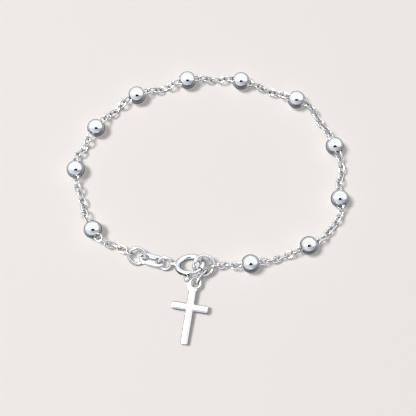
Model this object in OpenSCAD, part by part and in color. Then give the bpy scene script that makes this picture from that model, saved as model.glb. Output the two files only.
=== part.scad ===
// Rosary bracelet: eleven hollow balls threaded on a cable chain, closed by a spring ring
// clasp, with a small cross on an oval jump link. It lies as a loop on a flat surface.
// Millimetres, +Z up. The origin is under the middle of the loop and cross, on the surface.

/* [Balls] */
// Outside diameter of a ball
ball_d = 4; // [3.4:0.1:5]
// Thickness of a ball's wall
ball_wall = 0.3; // [0.2:0.05:0.5]
// Gap between the chain and the rim of a ball's bore
bore_gap = 0.16; // [0.12:0.02:0.24]

/* [Chain] */
// Diameter of a link's wire
link_wire = 0.36; // [0.3:0.02:0.42]
// Inside length of a link
link_in_l = 1.75; // [1.4:0.05:1.9]
// Inside width of a link
link_in_w = 1.1; // [0.8:0.05:1.2]
// How far each link slides in the next one
link_play = 0.18; // [0.14:0.02:0.3]
// Largest lean of a link to either side, in degrees
link_lean = 40; // [0:1:45]

/* [Rings] */
// Diameter of the wire of the end ring
end_ring_wire = 0.75; // [0.6:0.05:0.85]
// Outside diameter of the end ring
end_ring_d = 4.3; // [3.8:0.05:5]
// Diameter of the wire of the clasp ring
clasp_ring_wire = 0.8; // [0.6:0.05:0.9]
// Outside diameter of the clasp ring
clasp_ring_d = 5.1; // [4.9:0.05:5.6]
// How far a ring slides in the link of chain hooked on it
ring_play = 0.16; // [0.12:0.02:0.22]

/* [Tag link] */
// Length of the tag link
tag_l = 5.5; // [5.2:0.1:6.5]
// Width of the tag link
tag_w = 3.3; // [3.2:0.1:4]
// Thickness of the tag link in its middle
tag_t = 0.45; // [0.35:0.05:0.5]
// Width of metal at each end of the tag link
tag_end = 0.5; // [0.45:0.05:0.6]
// Width of metal beside each of its two eyes
tag_side = 0.85; // [0.75:0.05:0.95]
// Width of the slit between its two plates
tag_slit = 0.3; // [0.2:0.05:0.5]
// How far the tag link slides on each of its neighbours
tag_play = 0.32; // [0.22:0.02:0.4]

/* [Spring ring] */
// Outside diameter of the spring ring
case_d = 6.8; // [6.6:0.1:7.6]
// Outside diameter of its tube
case_tube = 1.3; // [1.2:0.05:1.4]
// Thickness of the tube's wall
case_wall = 0.2; // [0.15:0.05:0.25]
// Angle that the mouth takes of the ring, in degrees
mouth_angle = 50; // [40:1:54]
// How deep the bolt seats across the mouth, in degrees
seat_angle = 6; // [4:1:8]
// Gap between the bolt and the tube
bolt_gap = 0.12; // [0.1:0.01:0.14]
// Diameter of the bolt's thumb knob
knob_d = 1.15; // [0.9:0.05:1.3]
// Distance from the ring's centre to the middle of the knob
knob_reach = 4.65; // [4.6:0.05:5.2]
// Diameter of the knob's stem
stem_d = 0.4; // [0.3:0.05:0.45]
// Diameter of the wire of the clasp's eye
eye_wire = 0.7; // [0.6:0.05:0.75]
// Outside diameter of the clasp's eye
eye_d = 3.4; // [3.2:0.05:4]
// Length of bare neck between the tube and the eye
neck_l = 0.65; // [0.3:0.05:1.2]
// Diameter of the neck where it meets the tube
neck_d = 1.25; // [0.8:0.05:1.3]

/* [Charm link] */
// Diameter of the charm link's wire
charm_wire = 0.65; // [0.5:0.05:0.7]
// Inside length of the charm link
charm_in_l = 2.8; // [2.7:0.1:3.4]
// Inside width of the charm link
charm_in_w = 1.3; // [1.25:0.05:1.6]
// How far the charm link slides on the clasp ring
charm_play = 0.6; // [0.5:0.05:0.7]

/* [Cross] */
// Width of the bars of the cross
bar_w = 1.7; // [1.4:0.05:2.2]
// Thickness of the bars
bar_t = 1.3; // [1:0.05:1.6]
// Radius along the long edges of the bars
bar_round = 0.5; // [0.2:0.05:0.5]
// Radius of the corners at the ends of the bars
end_round = 0.35; // [0.1:0.05:0.6]
// Span of the arms
arm_span = 7.8; // [6:0.1:12]
// Length of the stem above the middle of the arms
stem_up = 3.6; // [2.5:0.1:5]
// Length of the stem below the middle of the arms
stem_down = 8; // [6:0.1:12]
// Diameter of the wire of the cross's eye
cross_eye_wire = 0.6; // [0.5:0.05:0.7]
// Outside diameter of the cross's eye
cross_eye_d = 2.85; // [2.7:0.05:3.4]
// Length of bare neck between the stem and the eye
cross_neck_l = 0.3; // [0.2:0.05:0.8]
// Thickness of the neck
cross_neck_t = 0.5; // [0.4:0.05:0.6]
// How far the neck flares past the eye on one side
cross_flare = 0.65; // [0:0.05:0.8]

/* [Hidden] */
$fn = 48;

silver = [0.87, 0.88, 0.9];
bright_silver = [0.93, 0.94, 0.96];

// Where each ball lies and which way its bore points, clockwise from the end ring
ball_route = [
    // x, y, heading
    [-25.1,  -6.2,  125],
    [-29.5,   7.8,   94],
    [-25.3,  17.8,   55],
    [-16.2,  25.9,   26],
    [ -4.6,  29.7,   13],
    [  7.8,  29.5,  -14],
    [ 20.5,  24.8,  -23],
    [ 28.8,  13.4,  -70],
    [ 29.4,   0.9,  -86],
    [ 22.2,  -9.8, -155],
    [  9.4, -13.9, -169]
];

// How each leg of chain lies, from the end ring on
leg_lie = [
    // share of the largest lean, bow to the right
    [0.1,  0.25],
    [0.8,  0.75],
    [1,    0.65],
    [0.2,   0.4],
    [0.5,  0.45],
    [0.3,  0.45],
    [0.1,  0.15],
    [1,     0.6],
    [1,    -0.5],
    [1,    0.55],
    [0.4,     0],
    [0.6,   0.4]
];

// Places and turns that the clasp line takes as it lies
case_x = -3.7;
case_y = -14.3;
case_tilt = 35;       // front edge up
case_pitch = 12;      // right side up
case_yaw = -7;
mouth_middle = -47;   // seen along the ring's own axis
knob_lead = 13;       // from the mouth back to the knob
tail_lead = 10;       // from the knob back to the bolt's tail
eye_turn = 66;        // the eye's twist from the plane of the tube
tag_heading = 166;
tag_tilt = 28;        // front edge up
end_ring_tilt = 30;   // back edge up
end_heading = 148;    // the way the chain leaves the end ring
clasp_ring_heading = -1;
clasp_ring_tilt = 20; // back edge up
clasp_ring_lean = 12; // left side up
clasp_ring_drop = 0.1;
clasp_ring_hang = 0.85;
chain_end_heading = 3; // the way the chain leaves the clasp ring
chain_end_dip = 12;   // how steeply it leaves both rings
charm_place = 266;    // where the charm link crosses the clasp ring
charm_heading = 232;
charm_dip = 4;
cross_hook = 45;      // where the charm link crosses the cross's eye
cross_play = 0.3;
cross_heading = 81;
cross_eye_side = 0.3; // the eye sits a little beside the stem

rest_gap = 0.03;      // clearance to the surface
low_gap = 0.05;       // what a link of chain keeps above that
thread_gap = 0.14;    // least clearance where a wire passes through a link
sag_share = 0.13;     // largest sag of a leg of chain, as a share of its length
bend_share = 0.36;    // how far a ball's heading carries into the leg
leg_steps = 14;
sway = 4;             // small sideways turn of a link
sway_turn = 131;

function rot_x(v, a) = [v.x, v.y * cos(a) - v.z * sin(a), v.y * sin(a) + v.z * cos(a)];
function rot_y(v, a) = [v.x * cos(a) + v.z * sin(a), v.y, v.z * cos(a) - v.x * sin(a)];
function rot_z(v, a) = [v.x * cos(a) - v.y * sin(a), v.x * sin(a) + v.y * cos(a), v.z];
function turned(v, turn) = rot_z(rot_y(rot_x(v, turn.x), turn.y), turn.z);
function aim(heading, dip = 0) =
    [cos(heading) * cos(dip), sin(heading) * cos(dip), -sin(dip)];
function aim_turn(way, roll = 0) =
    [roll, -asin(way.z / norm(way)), atan2(way.y, way.x)];

// The point of a ring that lies furthest along a way, and how far from it the middle of a
// link lies that hooks on the ring there
function on_ring(pos, r, normal, way) =
    let (flat = way - (way * normal) * normal)
    pos + r * flat / norm(flat);
function hooked(half, wire, ring_wire, play) = half - (wire + ring_wire) / 2 - play;

// Half lengths of the hooked pieces, to the middle of their wire
case_r = (case_d - case_tube) / 2;
eye_r = (eye_d - eye_wire) / 2;
tag_half = (tag_l - tag_end) / 2;
end_ring_r = (end_ring_d - end_ring_wire) / 2;
clasp_ring_r = (clasp_ring_d - clasp_ring_wire) / 2;
cross_eye_r = (cross_eye_d - cross_eye_wire) / 2;
link_w = link_in_w + 2 * link_wire;

// The link hooked on a ring is as long and wide as the ring's wire and its neighbour need
function end_link_l(wire) = max(link_in_l,
    2 * (wire + ring_play + thread_gap + link_play + link_wire) - link_in_l);
function end_link_w(wire) = max(link_in_w, wire + 2 * thread_gap);
function link_hooked(wire) =
    hooked((end_link_l(wire) + link_wire) / 2, link_wire, wire, ring_play);

// The spring ring leans with its front edge up and its back edge on the surface
case_lift = sqrt(pow(sin(case_pitch), 2) + pow(sin(case_tilt) * cos(case_pitch), 2));
case_turn = [-case_tilt, -case_pitch, case_yaw];
case_pos = [case_x, case_y, case_r * case_lift + case_tube / 2 + rest_gap];
eye_reach = case_r + case_tube / 2 + neck_l + eye_r + eye_wire / 2;
eye_pos = case_pos + turned([-eye_reach, 0, 0], case_turn);
eye_normal = turned(rot_x([0, 0, 1], eye_turn), case_turn);

// Mouth, bolt and slot, as angles round the spring ring
mouth_far = mouth_middle + mouth_angle / 2;
mouth_near = mouth_middle - mouth_angle / 2;
bolt_d = case_tube - 2 * case_wall - 2 * bolt_gap;
bolt_travel = mouth_angle + seat_angle;
knob_angle = mouth_near - knob_lead;
bolt_tip = mouth_far + seat_angle;
bolt_tail = knob_angle - tail_lead;
bore_spare = 4;
cut_over = 1;
slot_spare = (stem_d / 2 + bolt_gap) / case_r * 180 / PI;

// The end ring rests on the surface, and the tag link runs down to it from the eye
end_ring_z = end_ring_r * sin(end_ring_tilt) + end_ring_wire / 2 + rest_gap;
eye_hook = on_ring(eye_pos, eye_r, eye_normal, aim(tag_heading));
eye_to_tag = hooked(tag_half, tag_end, eye_wire, tag_play);
tag_to_ring = hooked(tag_half, tag_end, end_ring_wire, tag_play) + end_ring_r;
tag_dip = asin((eye_hook.z - end_ring_z) / (eye_to_tag + tag_to_ring));
tag_way = aim(tag_heading, tag_dip);
tag_pos = eye_hook + tag_way * eye_to_tag;
end_ring_pos = tag_pos + tag_way * tag_to_ring;
end_ring_turn = aim_turn(-tag_way, end_ring_tilt);
end_ring_normal = turned([0, 0, 1], end_ring_turn);

// The clasp ring hangs round the tube, and the charm link and cross hang from it
case_to_ring = hooked(case_r, case_tube, clasp_ring_wire, clasp_ring_hang) + clasp_ring_r;
clasp_ring_turn = [clasp_ring_tilt, clasp_ring_lean, clasp_ring_heading];
clasp_ring_normal = turned([0, 0, 1], clasp_ring_turn);
clasp_ring_pos = case_pos + aim(clasp_ring_heading) * case_to_ring - [0, 0, clasp_ring_drop];
charm_way = aim(charm_heading, charm_dip);
charm_top = clasp_ring_pos + turned(clasp_ring_r * aim(charm_place), clasp_ring_turn);
charm_pos = charm_top + charm_way * (charm_in_l / 2 - clasp_ring_wire / 2 - charm_play);
charm_low = charm_pos + charm_way * (charm_in_l / 2 - cross_eye_wire / 2 - cross_play);

// The cross rests on its foot, with its eye lifted by the charm link
cross_reach = cross_eye_r + cross_eye_wire / 2 + cross_neck_l + stem_up;
cross_foot = cross_reach + stem_down;
cross_eye_xy = charm_low - cross_eye_r * aim(cross_hook);
cross_lift = asin((charm_low.z - bar_t / 2 - rest_gap) / (cross_foot + cross_eye_r));
cross_pos = [cross_eye_xy.x, cross_eye_xy.y, charm_low.z - cross_eye_r * sin(cross_lift)];
cross_turn = [cross_lift, 0, cross_heading - 90];
cross_end = cross_pos + turned([-cross_eye_side, -cross_foot, 0], cross_turn);

// Stops of the chain: place, heading, and half the length kept straight there
ball_z = ball_d / 2 + rest_gap;
straight = ball_d / 2;
start_way = aim(end_heading, chain_end_dip);
finish_way = -aim(chain_end_heading, chain_end_dip);
chain_start = on_ring(end_ring_pos, end_ring_r, end_ring_normal, start_way)
    + start_way * link_hooked(end_ring_wire);
chain_finish = on_ring(clasp_ring_pos, clasp_ring_r, clasp_ring_normal, -finish_way)
    - finish_way * link_hooked(clasp_ring_wire);
balls = [for (row = ball_route) [[row[0], row[1], ball_z], row[2], straight]];
stops = concat(
    [[chain_start, end_heading, 0]],
    balls,
    [[chain_finish, chain_end_heading + 180, 0]]
);

// Each leg is a curve from stop to stop that sags and bows in its middle
low_z = link_w / 2 + rest_gap + low_gap;
function curve(a, b, c, d, t) =
    pow(1 - t, 3) * a + 3 * t * pow(1 - t, 2) * b + 3 * t * t * (1 - t) * c + pow(t, 3) * d;
function leg_point(from, to, bow, t) =
    let (
        a = from[0] + aim(from[1]) * from[2],
        d = to[0] - aim(to[1]) * to[2],
        reach = norm(d - a),
        b = a + aim(from[1]) * reach * bend_share,
        c = d - aim(to[1]) * reach * bend_share,
        sag = min((a.z + d.z) / 2 - low_z, reach * sag_share),
        aside = [d.y - a.y, a.x - d.x, 0] / reach
    )
    curve(a, b, c, d, t) + (bow * aside - [0, 0, sag]) * pow(sin(180 * t), 2);
route = [
    for (leg = [0 : len(stops) - 2])
        for (step = [0 : leg_steps])
            leg_point(stops[leg], stops[leg + 1], leg_lie[leg][1], step / leg_steps)
];
route_at = [
    for (i = 0, s = 0; i < len(route);
        s = s + (i + 1 < len(route) ? norm(route[i + 1] - route[i]) : 0), i = i + 1) s
];
along_x = [for (i = [0 : len(route) - 1]) [route_at[i], route[i].x]];
along_y = [for (i = [0 : len(route) - 1]) [route_at[i], route[i].y]];
along_z = [for (i = [0 : len(route) - 1]) [route_at[i], route[i].z]];
function chain_at(s) = [lookup(s, along_x), lookup(s, along_y), lookup(s, along_z)];
lean_at = [
    for (leg = [0 : len(leg_lie) - 1])
        [route_at[leg * (leg_steps + 1) + leg_steps / 2], leg_lie[leg][0]]
];

// An even number of steps, so that the first and last links both stand across the wire of
// the ring that they hook on
chain_l = route_at[len(route) - 1];
link_steps = 2 * ceil(chain_l / (link_in_l - link_play) / 2);
pitch = chain_l / link_steps;
function link_roll(k) =
    k == 0 ? 90 - end_ring_tilt :
    k == link_steps ? 90 - clasp_ring_tilt :
    90 * ((k + 1) % 2) - link_lean * lookup(k * pitch, lean_at);
function link_way(k) =
    k == 0 ? start_way :
    k == link_steps ? finish_way :
    chain_at((k + 0.5) * pitch) - chain_at((k - 0.5) * pitch);
function ring_wire_at(k) = k == 0 ? end_ring_wire : k == link_steps ? clasp_ring_wire : 0;

// The origin goes under the middle of everything
left = min([for (row = ball_route) row[0]]) - ball_d / 2;
right = max([for (row = ball_route) row[0]]) + ball_d / 2;
back = max([for (row = ball_route) row[1]]) + ball_d / 2;
front = cross_end.y - bar_w / 2 * cos(cross_heading);
centre = [(left + right) / 2, (front + back) / 2, 0];

module ring(r, wire) {
    rotate_extrude()
        translate([r, 0])
            circle(d = wire);
}

module ring_part(r, wire, from, to) {
    rotate([0, 0, from])
        rotate_extrude(angle = to - from)
            translate([r, 0])
                circle(d = wire);
}

module oval_link(in_l, in_w, wire) {
    bend_r = (in_w + wire) / 2;
    side_l = in_l - in_w;
    for (end = [-1, 1]) {
        translate([end * side_l / 2, 0, 0])
            ring_part(bend_r, wire, -90 * end, 180 - 90 * end);
        translate([-side_l / 2, end * bend_r, 0])
            rotate([0, 90, 0])
                cylinder(h = side_l, d = wire);
    }
}

module round_rect(w, h, r) {
    square([w - 2 * r, h], center = true);
    square([w, h - 2 * r], center = true);
    for (x = [-1, 1], y = [-1, 1])
        translate([x * (w / 2 - r), y * (h / 2 - r)])
            circle(r = r);
}

module bead(number) {
    ball = balls[number - 1];
    color(bright_silver)
        translate(ball[0])
            rotate([0, 0, ball[1]])
                rotate([0, 90, 0])
                    rotate_extrude()
                        difference() {
                            circle(d = ball_d);
                            circle(d = ball_d - 2 * ball_wall);
                            translate([-ball_d, -ball_d])
                                square([ball_d + link_w / 2 + bore_gap, 2 * ball_d]);
                        }
}

module chain() {
    color(silver)
        for (k = [0 : link_steps])
            translate(chain_at(k * pitch))
                rotate(aim_turn(link_way(k), link_roll(k)))
                    rotate([0, 0, ring_wire_at(k) > 0 ? 0 : sway * sin(k * sway_turn)])
                        oval_link(end_link_l(ring_wire_at(k)), end_link_w(ring_wire_at(k)),
                            link_wire);
}

module end_ring() {
    color(silver)
        translate(end_ring_pos)
            rotate(end_ring_turn)
                ring(end_ring_r, end_ring_wire);
}

module tag_outline() {
    eye_hole = tag_w / 2 - tag_side;
    eye_x = tag_l / 2 - tag_end - eye_hole;
    difference() {
        union() {
            square([tag_l - tag_w, tag_w], center = true);
            for (end = [-1, 1])
                translate([end * (tag_l - tag_w) / 2, 0])
                    circle(d = tag_w);
        }
        square([2 * eye_x, tag_slit], center = true);
        for (end = [-1, 1])
            translate([end * eye_x, 0])
                circle(r = eye_hole);
    }
}

// Both faces are crowned across the width, to two thirds of the thickness at the edge
module tag_link() {
    crown = tag_t / 6;
    crown_r = (pow(tag_w / 2, 2) + pow(crown, 2)) / (2 * crown);
    color(bright_silver)
        translate(tag_pos)
            rotate(aim_turn(-tag_way, -tag_tilt))
                intersection() {
                    linear_extrude(height = tag_t, center = true)
                        tag_outline();
                    for (side = [-1, 1])
                        translate([0, 0, side * (crown_r - tag_t / 2)])
                            rotate([0, 90, 0])
                                cylinder(h = 2 * tag_l, r = crown_r, center = true, $fn = 360);
                }
}

module clasp_case() {
    slot_w = stem_d + 2 * bolt_gap;
    color(bright_silver)
        translate(case_pos)
            rotate(case_turn) {
                difference() {
                    ring_part(case_r, case_tube, mouth_far, mouth_near + 360);
                    ring_part(case_r, case_tube - 2 * case_wall,
                        bolt_tail - bolt_travel - bore_spare, mouth_near + cut_over);
                    ring_part(case_r, case_tube - 2 * case_wall,
                        mouth_far - cut_over, bolt_tip + bore_spare);
                    rotate([0, 0, knob_angle - bolt_travel - slot_spare])
                        rotate_extrude(angle = bolt_travel + 2 * slot_spare)
                            translate([case_r, -slot_w / 2])
                                square([case_tube, slot_w]);
                }
                translate([-case_r, 0, 0])
                    rotate([0, -90, 0])
                        cylinder(h = eye_reach - eye_r - case_r, d1 = neck_d, d2 = eye_wire);
                translate([-eye_reach, 0, 0])
                    rotate([eye_turn, 0, 0])
                        ring(eye_r, eye_wire);
            }
}

module clasp_bolt() {
    color(silver)
        translate(case_pos)
            rotate(case_turn) {
                ring_part(case_r, bolt_d, bolt_tail, bolt_tip);
                rotate([0, 0, knob_angle]) {
                    translate([case_r, 0, 0])
                        rotate([0, 90, 0])
                            cylinder(h = knob_reach - case_r, d = stem_d);
                    translate([knob_reach, 0, 0])
                        sphere(d = knob_d);
                }
            }
}

module clasp_ring() {
    color(silver)
        translate(clasp_ring_pos)
            rotate(clasp_ring_turn)
                ring(clasp_ring_r, clasp_ring_wire);
}

module charm_link() {
    color(silver)
        translate(charm_pos)
            rotate(aim_turn(charm_way, 90))
                oval_link(charm_in_l, charm_in_w, charm_wire);
}

module bar(l) {
    intersection() {
        rotate([90, 0, 0])
            linear_extrude(height = l, center = true)
                round_rect(bar_w, bar_t, bar_round);
        linear_extrude(height = 2 * bar_t, center = true)
            round_rect(bar_w, l, end_round);
    }
}

// The neck widens from the stem to the eye, more on one side
module cross_neck() {
    foot_y = stem_up - cross_reach - end_round;
    foot_x = bar_w / 2 - end_round / 2;
    difference() {
        polygon([
            [-cross_eye_side - foot_x, foot_y],
            [foot_x - cross_eye_side, foot_y],
            [cross_eye_r, -cross_eye_r / 2],
            [0, -cross_eye_r / 2],
            [-cross_eye_r, 0],
            [-cross_eye_r - cross_flare, -cross_eye_wire / 2],
            [-cross_eye_r - cross_flare, -cross_eye_wire]
        ]);
        circle(r = cross_eye_r);
    }
}

module cross() {
    color(bright_silver)
        translate(cross_pos)
            rotate(cross_turn) {
                ring(cross_eye_r, cross_eye_wire);
                linear_extrude(height = cross_neck_t, center = true)
                    cross_neck();
                translate([-cross_eye_side, -cross_reach, 0]) {
                    translate([0, (stem_up - stem_down) / 2, 0])
                        bar(stem_up + stem_down);
                    rotate([0, 0, 90])
                        bar(arm_span);
                }
            }
}

translate(-centre) {
    bead(1);  // bead_01
    bead(2);  // bead_02
    bead(3);  // bead_03
    bead(4);  // bead_04
    bead(5);  // bead_05
    bead(6);  // bead_06
    bead(7);  // bead_07
    bead(8);  // bead_08
    bead(9);  // bead_09
    bead(10);  // bead_10
    bead(11);  // bead_11
    chain();
    end_ring();
    tag_link();
    clasp_case();
    clasp_bolt();
    clasp_ring();
    charm_link();
    cross();
}
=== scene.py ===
"""Looks of the rosary bracelet: polished silver on a pale surface, seen from above.

Every piece is built in metres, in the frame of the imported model. Lengths named _mm or _MM are
in millimetres. The camera stands at the photograph's angle, with its focal length in pixels.
"""

import math

import bpy
import numpy as np
from mathutils import Matrix, Vector


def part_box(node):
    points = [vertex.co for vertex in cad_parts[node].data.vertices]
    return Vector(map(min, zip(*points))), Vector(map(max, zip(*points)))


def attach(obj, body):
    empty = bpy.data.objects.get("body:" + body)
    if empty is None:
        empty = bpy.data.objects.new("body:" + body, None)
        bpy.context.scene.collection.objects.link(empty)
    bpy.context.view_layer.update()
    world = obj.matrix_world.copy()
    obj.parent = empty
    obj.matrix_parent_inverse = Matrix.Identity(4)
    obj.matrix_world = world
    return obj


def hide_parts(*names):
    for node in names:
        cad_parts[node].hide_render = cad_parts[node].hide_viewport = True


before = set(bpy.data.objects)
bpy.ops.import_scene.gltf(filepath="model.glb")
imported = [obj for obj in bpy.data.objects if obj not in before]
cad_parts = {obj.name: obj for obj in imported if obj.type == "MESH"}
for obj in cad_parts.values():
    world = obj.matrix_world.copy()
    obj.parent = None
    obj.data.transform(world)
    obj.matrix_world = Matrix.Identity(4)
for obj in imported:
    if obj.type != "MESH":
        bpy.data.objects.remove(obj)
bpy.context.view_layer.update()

MM = 0.001
MAIN_BODY = "bracelet"
LEVER_BODY = "lever"
BEAD_COUNT = 11

# The photograph's camera
PHOTO_PX = 416
FOCAL_PX = 850
SENSOR_MM = 36
CAMERA_ELEVATION = math.radians(73)
CAMERA_DISTANCE = 0.190
LOOK_AT = Vector((0.00022, -0.00085, 0))
FORWARD = Vector((0, math.cos(CAMERA_ELEVATION), -math.sin(CAMERA_ELEVATION)))
CAMERA_UP = Vector((0, math.sin(CAMERA_ELEVATION), math.cos(CAMERA_ELEVATION)))


# reading the frame

# Points that agree to this many decimals of a metre are one
WELD_DIGITS = 8


def solids_of(node):
    """Points in metres and triangles of each closed solid of a CAD node."""
    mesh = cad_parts[node].data
    mesh.calc_loop_triangles()
    points = np.zeros(len(mesh.vertices) * 3)
    mesh.vertices.foreach_get("co", points)
    points = points.reshape(-1, 3)
    tris = np.zeros(len(mesh.loop_triangles) * 3, int)
    mesh.loop_triangles.foreach_get("vertices", tris)
    points, welded = np.unique(np.round(points, WELD_DIGITS), axis=0, return_inverse=True)
    tris = welded.reshape(-1)[tris.reshape(-1, 3)]
    # Each point takes the lowest label of its triangles' points until none changes
    label = np.arange(len(points))
    while True:
        low = label[tris].min(axis=1)
        new = label.copy()
        for corner in range(3):
            np.minimum.at(new, tris[:, corner], low)
        new = new[new]
        if np.array_equal(new, label):
            break
        label = new
    return [
        (points, tris[label[tris[:, 0]] == name])
        for name in np.unique(label[tris[:, 0]])
    ]


class Pose:
    """Middle, main axes (long, wide, thin) and half sizes along them of one solid."""

    def __init__(self, solid):
        points, tris = solid
        corners = points[tris]
        areas = np.linalg.norm(
            np.cross(corners[:, 1] - corners[:, 0], corners[:, 2] - corners[:, 0]), axis=1
        )
        middles = corners.mean(axis=1)
        middle = (areas[:, None] * middles).sum(0) / areas.sum()
        spread = middles - middle
        moments = (areas[:, None, None] * spread[:, :, None] * spread[:, None]).sum(0)
        axes = np.linalg.eigh(moments)[1]
        long, thin = axes[:, 2], axes[:, 0]
        if thin[2] < 0:
            thin = -thin
        self.axes = np.array([long, np.cross(thin, long), thin])
        local = (points[np.unique(tris)] - middle) @ self.axes.T
        self.half = (local.max(0) - local.min(0)) / 2
        self.middle = middle + (local.max(0) + local.min(0)) / 2 @ self.axes

    def place(self, local):
        """Points given along the axes from the middle, in the frame of the model."""
        return np.asarray(local) @ self.axes + self.middle


# building meshes

def add_piece(name, mesh, body, replaces):
    piece = bpy.data.objects.new(name, mesh)
    bpy.context.scene.collection.objects.link(piece)
    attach(piece, body)
    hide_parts(*replaces)
    return piece


def add_object(name, points, faces, material, replaces):
    mesh = bpy.data.meshes.new(name)
    mesh.from_pydata([tuple(p) for p in points], [], faces)
    mesh.validate()
    mesh.shade_smooth()
    mesh.materials.append(material)
    add_piece(name, mesh, MAIN_BODY, replaces)


def loop_faces(rows, cols, first=0):
    """Quads of a grid that closes both ways."""
    return [
        (
            first + r * cols + c,
            first + (r + 1) % rows * cols + c,
            first + (r + 1) % rows * cols + (c + 1) % cols,
            first + r * cols + (c + 1) % cols,
        )
        for r in range(rows)
        for c in range(cols)
    ]


def oval_path(half_l, half_w, arc_steps, side_steps):
    """Points and outward normals of the middle line of an oval link, in its own plane."""
    side = half_l - half_w
    line = []
    for end in (1, -1):
        for i in range(arc_steps):
            a = math.pi * (i / arc_steps - 0.5) + (0 if end == 1 else math.pi)
            x, y = math.cos(a), math.sin(a)
            line.append((end * side + half_w * x, half_w * y, x, y))
        for i in range(side_steps):
            x = end * side * (1 - 2 * i / side_steps)
            line.append((x, end * half_w, 0, end))
    return np.array(line)


def wire_loop(pose, arc_steps, side_steps, around, seam_at, seam_bulge, seam_w):
    """A closed wire with a soldered seam: a round ring, or an oval link. Also its rows.

    seam_at is the seam's place, as a share of the way round, seam_w its width as such a share,
    and seam_bulge how much thicker (or, below zero, thinner) the wire is there.
    """
    wire = pose.half[2]
    line = oval_path(pose.half[0] - wire, pose.half[1] - wire, arc_steps, side_steps)
    share = np.arange(len(line)) / len(line)
    off = (share - seam_at + 0.5) % 1 - 0.5
    radius = wire * (1 + seam_bulge * np.exp(-(off / seam_w) ** 2))
    b = 2 * np.pi * np.arange(around) / around
    out, up = np.cos(b), np.sin(b)
    local = np.empty((len(line), around, 3))
    for axis in (0, 1):
        normal = line[:, None, axis + 2]
        local[:, :, axis] = line[:, None, axis] + radius[:, None] * out * normal
    local[:, :, 2] = radius[:, None] * up
    return pose.place(local.reshape(-1, 3)), len(line)


def softened(node, name, material, voxel_mm, rounds, body=MAIN_BODY):
    """A CAD node's form with its edges worn round, as polishing leaves them.

    Its flat faces would throw patches of light on the floor, which the photograph doesn't show.
    """
    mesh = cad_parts[node].data.copy()
    mesh.transform(Matrix.Scale(1 / MM, 4))
    work = bpy.data.objects.new(name, mesh)
    bpy.context.scene.collection.objects.link(work)
    remesh = work.modifiers.new("even", "REMESH")
    remesh.mode = "VOXEL"
    remesh.voxel_size = voxel_mm
    wear = work.modifiers.new("wear", "SMOOTH")
    wear.factor = 0.5
    wear.iterations = rounds
    depsgraph = bpy.context.evaluated_depsgraph_get()
    done = bpy.data.meshes.new_from_object(work.evaluated_get(depsgraph))
    bpy.data.objects.remove(work)
    done.transform(Matrix.Scale(MM, 4))
    done.materials.clear()
    done.materials.append(material)
    done.shade_smooth()
    piece = add_piece(name, done, body, [node])
    piece.visible_diffuse = False


# materials

def add_node(tree, kind, **values):
    """A new shader node. Its inputs are set by name, with _ for a space."""
    node = tree.nodes.new("ShaderNode" + kind)
    for name, value in values.items():
        node.inputs[name.replace("_", " ")].default_value = value
    return node


# The noise is all dull below the first of these values and all bright above the second
CLOUD_LOW, CLOUD_HIGH = 0.3, 0.7
CLOUD_SHADE = 0.94
# Painted shade in hollows and undersides: darkest where less than the first share around is open
OPEN_LOW, OPEN_HIGH = 0.3, 0.8
PAINTED_CREVICE_SHADE = 0.05
HAIR_TURN = (0.4, 0.7, 0.9)
HAIRS_PER_MM = (14, 1.2, 14)


def silver(name, tint, rough, clouds_per_mm, scratch_mm, edge=1, painted_shade_mm=0):
    """Polished silver: a clear mirror with faint clouds of handling and hairline scratches.

    rough is its roughness between clouds and in them, edge how bright it stays at a glancing
    angle, and the last argument how far in mm painted shade darkens crevices and undersides.
    """
    material = bpy.data.materials.new(name)
    material.use_nodes = True
    tree = material.node_tree
    link = tree.links.new
    shader = tree.nodes["Principled BSDF"]
    shader.inputs["Metallic"].default_value = 1
    shader.inputs["IOR"].default_value = 1.5
    shader.inputs["Specular Tint"].default_value = (edge, edge, edge, 1)
    place = add_node(tree, "TexCoord").outputs["Object"]

    clouds = add_node(tree, "TexNoise", Scale=clouds_per_mm / MM, Detail=4, Roughness=0.6)
    link(place, clouds.inputs["Vector"])
    colour = add_node(tree, "ValToRGB")
    dull, bright = colour.color_ramp.elements
    dull.position, bright.position = CLOUD_LOW, CLOUD_HIGH
    dull.color = (*(CLOUD_SHADE * c for c in tint), 1)
    bright.color = (*tint, 1)
    link(clouds.outputs["Fac"], colour.inputs["Fac"])
    # Painted shade: the colour darkens where other metal or the floor is near, in crevices,
    # between parts and underneath
    if painted_shade_mm:
        crevice = add_node(tree, "AmbientOcclusion", Distance=painted_shade_mm * MM)
        crevice.samples = 8
        painted_shade_factor = add_node(tree, "MapRange", From_Min=OPEN_LOW, From_Max=OPEN_HIGH,
                          To_Min=PAINTED_CREVICE_SHADE)
        link(crevice.outputs["AO"], painted_shade_factor.inputs["Value"])
        painted_shade_colour = add_node(tree, "VectorMath")
        painted_shade_colour.operation = "SCALE"
        link(colour.outputs["Color"], painted_shade_colour.inputs[0])
        link(painted_shade_factor.outputs["Result"], painted_shade_colour.inputs["Scale"])
        link(painted_shade_colour.outputs["Vector"], shader.inputs["Base Color"])
    else:
        link(colour.outputs["Color"], shader.inputs["Base Color"])

    low, high = rough
    handled = add_node(tree, "MapRange", From_Min=CLOUD_LOW, From_Max=CLOUD_HIGH,
                       To_Min=low, To_Max=high)
    link(clouds.outputs["Fac"], handled.inputs["Value"])
    link(handled.outputs["Result"], shader.inputs["Roughness"])

    stretch = add_node(tree, "Mapping", Rotation=HAIR_TURN,
                       Scale=tuple(count / MM for count in HAIRS_PER_MM))
    link(place, stretch.inputs["Vector"])
    hairs = add_node(tree, "TexNoise", Scale=1, Detail=2)
    link(stretch.outputs["Vector"], hairs.inputs["Vector"])
    bump = add_node(tree, "Bump", Strength=1, Distance=scratch_mm * MM)
    link(hairs.outputs["Fac"], bump.inputs["Height"])
    link(bump.outputs["Normal"], shader.inputs["Normal"])
    return material


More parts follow.
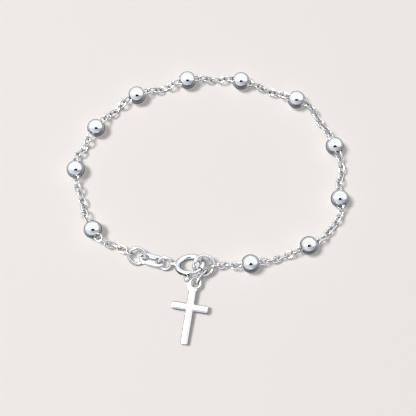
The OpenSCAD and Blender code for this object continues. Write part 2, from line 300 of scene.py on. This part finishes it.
BEAD_SILVER = silver(
    "bead_silver", (0.93, 0.945, 0.965), rough=(0.02, 0.05), clouds_per_mm=1.5,
    scratch_mm=0.0002)
# The chain, rings, clasp and cross get painted shade in their crevices and undersides
CHAIN_SILVER = silver(
    "chain_silver", (0.97, 0.985, 1), rough=(0.05, 0.1), clouds_per_mm=2.5,
    scratch_mm=0.0004, edge=0.2, painted_shade_mm=1.0)
RING_SILVER = silver(
    "ring_silver", (0.96, 0.975, 0.995), rough=(0.05, 0.1), clouds_per_mm=2.0,
    scratch_mm=0.0004, edge=0.3, painted_shade_mm=0.8)
CLASP_SILVER = silver(
    "clasp_silver", (0.97, 0.98, 1), rough=(0.05, 0.1), clouds_per_mm=1.8,
    scratch_mm=0.0003, edge=0.3, painted_shade_mm=0.8)
# Satin, so that its flat face doesn't mirror the dark camera to a view from above
CROSS_SILVER = silver(
    "cross_silver", (0.96, 0.97, 0.99), rough=(0.25, 0.32), clouds_per_mm=1.2,
    scratch_mm=0.0004, edge=0.3, painted_shade_mm=0.8)


# beads

BALL_R_MM = 2.0
BALL_WALL_MM = 0.3
BORE_ROUND_MM = 0.06
BALL_OUTER_STEPS, BALL_INNER_STEPS, BALL_AROUND = 49, 25, 80


def bore_heading(points, middle):
    """The way a ball's bore points: along it the drilled ball reaches least far."""
    headings = np.radians(np.arange(0, 180, 0.5))
    ways = np.stack([np.cos(headings), np.sin(headings), 0 * headings])
    reach = np.abs((points - middle) @ ways).max(axis=0)
    return headings[reach.argmin()], reach.min()


def bead_profile(bore_reach_mm):
    """Half section of a ball, along its bore and out from it, in millimetres."""
    inner_r = BALL_R_MM - BALL_WALL_MM
    bore_r = math.sqrt(BALL_R_MM ** 2 - bore_reach_mm ** 2)

    def arc(r, steps, start):
        """From rim to rim of the bore. start is 1 to begin at the right, -1 at the left."""
        edge = math.asin((bore_r + BORE_ROUND_MM) / r)
        return [
            (start * r * math.cos(a), r * math.sin(a))
            for a in np.linspace(edge, math.pi - edge, steps)
        ]

    def corner(before, sharp, after):
        before, sharp, after = map(np.array, (before, sharp, after))
        return [
            tuple((1 - t) ** 2 * before + 2 * t * (1 - t) * sharp + t * t * after)
            for t in (0.25, 0.5, 0.75)
        ]

    outer = arc(BALL_R_MM, BALL_OUTER_STEPS, start=-1)
    inner = arc(inner_r, BALL_INNER_STEPS, start=1)
    inner_reach = math.sqrt(inner_r ** 2 - bore_r ** 2)
    right_wall = [
        (bore_reach_mm - BORE_ROUND_MM, bore_r),
        (inner_reach + BORE_ROUND_MM / 2, bore_r),
    ]
    left_wall = [(-x, r) for x, r in reversed(right_wall)]
    return (
        outer
        + corner(outer[-1], (bore_reach_mm, bore_r), right_wall[0]) + right_wall
        + corner(right_wall[1], (inner_reach, bore_r), inner[0]) + inner
        + corner(inner[-1], (-inner_reach, bore_r), left_wall[0]) + left_wall
        + corner(left_wall[1], (-bore_reach_mm, bore_r), outer[0])
    )


def build_bead(number):
    node = f"bead_{number:02d}"
    low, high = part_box(node)
    middle = np.array((low + high) / 2)
    points = np.array([v.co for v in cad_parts[node].data.vertices])
    heading, reach = bore_heading(points, middle)
    profile = np.array(bead_profile(reach / MM)) * MM
    turn = 2 * np.pi * np.arange(BALL_AROUND) / BALL_AROUND
    along = np.array((math.cos(heading), math.sin(heading), 0))
    across = np.array((-math.sin(heading), math.cos(heading), 0))
    up = np.array((0, 0, 1))
    rows = [
        middle + x * along + r * (math.cos(t) * across + math.sin(t) * up)
        for t in turn
        for x, r in profile
    ]
    add_object(f"ball_{number:02d}", rows, loop_faces(BALL_AROUND, len(profile)), BEAD_SILVER,
               replaces=[node])


for number in range(1, BEAD_COUNT + 1):
    build_bead(number)


# chain and rings

LINK_ARC_STEPS, LINK_SIDE_STEPS, LINK_AROUND = 16, 4, 12
LINK_SEAMS = (0.16, 0.7, 0.22, 0.64)
RING_AROUND = 28


def build_chain():
    rings, faces = [], []
    for count, solid in enumerate(solids_of("chain")):
        ring, rows = wire_loop(
            Pose(solid), LINK_ARC_STEPS, LINK_SIDE_STEPS, LINK_AROUND,
            seam_at=LINK_SEAMS[count % len(LINK_SEAMS)], seam_bulge=-0.1, seam_w=0.012)
        faces += loop_faces(rows, LINK_AROUND, first=sum(len(p) for p in rings))
        rings.append(ring)
    add_object("chain_links", np.concatenate(rings), faces, CHAIN_SILVER,
               replaces=["chain"])


def build_ring(node, name, arc_steps, side_steps, seam_at, seam_bulge, seam_w):
    ring, rows = wire_loop(Pose(solids_of(node)[0]), arc_steps, side_steps, RING_AROUND,
                           seam_at, seam_bulge, seam_w)
    add_object(name, ring, loop_faces(rows, RING_AROUND), RING_SILVER, replaces=[node])


build_chain()
build_ring("end_ring", "end_jump_ring", arc_steps=80, side_steps=0,
           seam_at=0.37, seam_bulge=-0.1, seam_w=0.004)
build_ring("clasp_ring", "clasp_jump_ring", arc_steps=90, side_steps=0,
           seam_at=0.08, seam_bulge=-0.1, seam_w=0.004)
build_ring("charm_link", "charm_jump_link", arc_steps=50, side_steps=16,
           seam_at=0.62, seam_bulge=-0.12, seam_w=0.006)


# tag link

TAG_END_MM, TAG_SIDE_MM, TAG_SLIT_MM = 0.5, 0.85, 0.3
TAG_SIDE_STEPS, TAG_END_STEPS = 14, 40
# Powers below 1 that flatten the section's edges and its faces
EDGE_POWER, FACE_POWER = 0.55, 0.75


def build_tag():
    """An oval link with both sides flattened to plates, which leave a slit and two eyes."""
    pose = Pose(solids_of("tag_link")[0])
    half_l, half_w, half_t = pose.half
    eye_r = half_w - TAG_SIDE_MM * MM
    eye_x = half_l - TAG_END_MM * MM - eye_r
    slit = TAG_SLIT_MM * MM / 2
    mouth_a = math.pi - math.asin(slit / eye_r)
    mouth_x = eye_x + eye_r * math.cos(mouth_a)
    straight_x = half_l - half_w
    inner, outer = [], []
    for t in np.linspace(0, 1, TAG_SIDE_STEPS, endpoint=False):
        inner.append((t * mouth_x, slit))
        outer.append((t * straight_x, half_w))
    for t in np.linspace(0, 1, TAG_END_STEPS):
        a, b = mouth_a * (1 - t), math.pi / 2 * (1 - t)
        inner.append((eye_x + eye_r * math.cos(a), eye_r * math.sin(a)))
        outer.append((straight_x + half_w * math.cos(b), half_w * math.sin(b)))
    quarter = np.hstack([inner, outer])

    def mirrored(rows, sx, sy):
        return rows * np.array((sx, sy, sx, sy))

    ring = np.concatenate([
        quarter,
        mirrored(quarter[-2::-1], 1, -1),
        mirrored(quarter[1:], -1, -1),
        mirrored(quarter[-2:0:-1], -1, 1),
    ])
    b = 2 * np.pi * np.arange(RING_AROUND) / RING_AROUND
    across = 0.5 + 0.5 * np.sign(np.cos(b)) * np.abs(np.cos(b)) ** EDGE_POWER
    rise = np.sign(np.sin(b)) * np.abs(np.sin(b)) ** FACE_POWER
    local = np.empty((len(ring), RING_AROUND, 3))
    for axis in (0, 1):
        local[:, :, axis] = ring[:, None, axis] * (1 - across) + ring[:, None, axis + 2] * across
    crown = 1 - (local[:, :, 1] / half_w) ** 2 / 3
    local[:, :, 2] = half_t * crown * rise
    add_object("tag_plates", pose.place(local.reshape(-1, 3)),
               loop_faces(len(ring), RING_AROUND), RING_SILVER, replaces=["tag_link"])


build_tag()


# clasp and cross

softened("clasp_case", "clasp_tube", CLASP_SILVER, voxel_mm=0.05, rounds=4)
softened("clasp_bolt", "clasp_lever", CLASP_SILVER, voxel_mm=0.04, rounds=3, body=LEVER_BODY)
softened("cross", "cross_body", CROSS_SILVER, voxel_mm=0.06, rounds=10)


# floor, light and camera

def plane(name, width, depth, at, facing=(0, 0, 1)):
    corners = [(-width / 2, -depth / 2, 0), (width / 2, -depth / 2, 0),
               (width / 2, depth / 2, 0), (-width / 2, depth / 2, 0)]
    mesh = bpy.data.meshes.new(name)
    mesh.from_pydata(corners, [], [(0, 1, 2, 3)])
    sheet = bpy.data.objects.new(name, mesh)
    sheet.location = at
    sheet.rotation_euler = Vector(facing).to_track_quat("Z", "Y").to_euler()
    bpy.context.scene.collection.objects.link(sheet)
    return sheet


def plain_material(name, colour, roughness, glow_colour, glow):
    material = bpy.data.materials.new(name)
    material.use_nodes = True
    shader = material.node_tree.nodes["Principled BSDF"]
    shader.inputs["Base Color"].default_value = (*colour, 1)
    shader.inputs["Roughness"].default_value = roughness
    shader.inputs["Specular IOR Level"].default_value = 0.1
    shader.inputs["Emission Color"].default_value = (*glow_colour, 1)
    shader.inputs["Emission Strength"].default_value = glow
    return material


# Paper on a light table: its own glow keeps the shadows pale up to the pieces that cast them
FLOOR_SIZE = 4
FLOOR_COLOUR = (0.695, 0.66, 0.633)
FLOOR_GLOW = 0.43
floor = plane("floor", FLOOR_SIZE, FLOOR_SIZE, (0, 0, 0))
floor.data.materials.append(
    plain_material("floor_paper", FLOOR_COLOUR, 0.9, FLOOR_COLOUR, FLOOR_GLOW))
floor.visible_glossy = False


def card(name, width, height, at, facing, shade):
    """A card that only the metal mirrors, from black at shade 0 to white at 1."""
    sheet = plane(name, width, height, at, facing)
    sheet.data.materials.append(
        plain_material(name, (0, 0, 0), 0.8, (shade, shade, 1.05 * shade), 1))
    sheet.visible_camera = False
    sheet.visible_diffuse = False
    sheet.visible_shadow = False


def behind_camera(right, up):
    """A place just behind the camera, so far to the right and up as the camera sees it."""
    return LOOK_AT - 1.06 * CAMERA_DISTANCE * FORWARD + Vector((right, 0, 0)) + up * CAMERA_UP


# The camera's own dark body and its arm, which each ball mirrors as a small spot with a tail
card("camera_body", 0.135, 0.1, behind_camera(0.002, -0.02), FORWARD, shade=0)
card("camera_arm", 0.08, 0.035, behind_camera(0.1, -0.03), FORWARD, shade=0.05)
# A pale card low in front brightens the clasp and the cross
card("front_card", 0.045, 0.012, Vector((-0.006, -0.034, 0.01)), (0, 1, 0), shade=0.75)

# The tent's shades. The panel hangs in front below 58 degrees and is greyer to the right, and
# what is under the horizon gets darker towards the front. Straight behind the bracelet it is
# dark, which draws a thin line round every edge
TENT = (1, 1, 1)
PANEL_TOP = math.radians(58)
PANEL_EDGE = (0, -math.sin(PANEL_TOP), -math.cos(PANEL_TOP))
PANEL_LEFT = (0.76, 0.78, 0.82)
PANEL_RIGHT = (0.38, 0.4, 0.45)
HORIZON = (-0.1, 0, 1)
UNDER_WAY = (-0.2, 0.97, 0)
UNDER_FRONT = (0.06, 0.065, 0.075)
UNDER_BACK = (0.6, 0.62, 0.66)
DARK = (0.01, 0.01, 0.012)
DARK_FROM, DARK_TO = math.cos(math.radians(42)), math.cos(math.radians(30))
WORLD_STRENGTH = 1.05


def build_world():
    """The white tent, its grey panel and the dark under it, which only the metal mirrors.

    The floor has its light from the key and its own glow.
    """
    world = bpy.data.worlds.new("studio")
    bpy.context.scene.world = world
    world.use_nodes = True
    world.cycles_visibility.diffuse = False
    tree = world.node_tree
    link = tree.links.new
    tree.nodes.clear()
    way = add_node(tree, "TexCoord").outputs["Generated"]

    def along(vector):
        """How far the direction points along a vector."""
        node = add_node(tree, "VectorMath")
        node.operation = "DOT_PRODUCT"
        node.inputs[1].default_value = vector
        link(way, node.inputs[0])
        return node.outputs["Value"]

    def spread(value, low, high, kind="LINEAR"):
        """The value's place between two others, from 0 to 1."""
        node = add_node(tree, "MapRange", From_Min=low, From_Max=high)
        node.interpolation_type = kind
        link(value, node.inputs["Value"])
        return node.outputs["Result"]

    def mixed(factor, a, b):
        """One of two colours, or of two sockets, by a factor."""
        node = add_node(tree, "Mix")
        node.data_type = "RGBA"
        link(factor, node.inputs["Factor"])
        for name, value in (("A", a), ("B", b)):
            if isinstance(value, tuple):
                node.inputs[name].default_value = (*value, 1)
            else:
                link(value, node.inputs[name])
        return node.outputs["Result"]

    panel = mixed(spread(along((1, 0, 0)), -0.8, 0.8), PANEL_LEFT, PANEL_RIGHT)
    tent = mixed(spread(along(PANEL_EDGE), -0.04, 0.04, "SMOOTHSTEP"), TENT, panel)
    under = mixed(spread(along(UNDER_WAY), -1, 1), UNDER_FRONT, UNDER_BACK)
    under = mixed(spread(along(tuple(FORWARD)), DARK_FROM, DARK_TO, "SMOOTHSTEP"), under, DARK)
    sky = mixed(spread(along(HORIZON), -0.25, 0.1, "SMOOTHSTEP"), under, tent)
    background = add_node(tree, "Background", Strength=WORLD_STRENGTH)
    link(sky, background.inputs["Color"])
    output = add_node(tree, "OutputWorld")
    link(background.outputs["Background"], output.inputs["Surface"])


build_world()

# The key light: its size keeps the shadows' soft edges, and its power the floor's light, at
# this distance
KEY_DISTANCE = 2.2
KEY_WAY = Vector((-0.45, 0.063, 0.891)).normalized()
key = bpy.data.lights.new("key", "AREA")
key.shape = "DISK"
key.size = 0.34 * KEY_DISTANCE
key.energy = 8.9 * KEY_DISTANCE ** 2
key_light = bpy.data.objects.new("key", key)
key_light.location = LOOK_AT + KEY_DISTANCE * KEY_WAY
key_light.rotation_euler = KEY_WAY.to_track_quat("Z", "Y").to_euler()
bpy.context.scene.collection.objects.link(key_light)

lens = bpy.data.cameras.new("camera")
lens.lens = FOCAL_PX / PHOTO_PX * SENSOR_MM
lens.sensor_width = SENSOR_MM
lens.clip_start = 0.01
camera = bpy.data.objects.new("camera", lens)
camera.location = LOOK_AT - CAMERA_DISTANCE * FORWARD
camera.rotation_euler = FORWARD.to_track_quat("-Z", "Y").to_euler()
bpy.context.scene.collection.objects.link(camera)
bpy.context.scene.camera = camera

bpy.context.scene.view_settings.view_transform = "Standard"
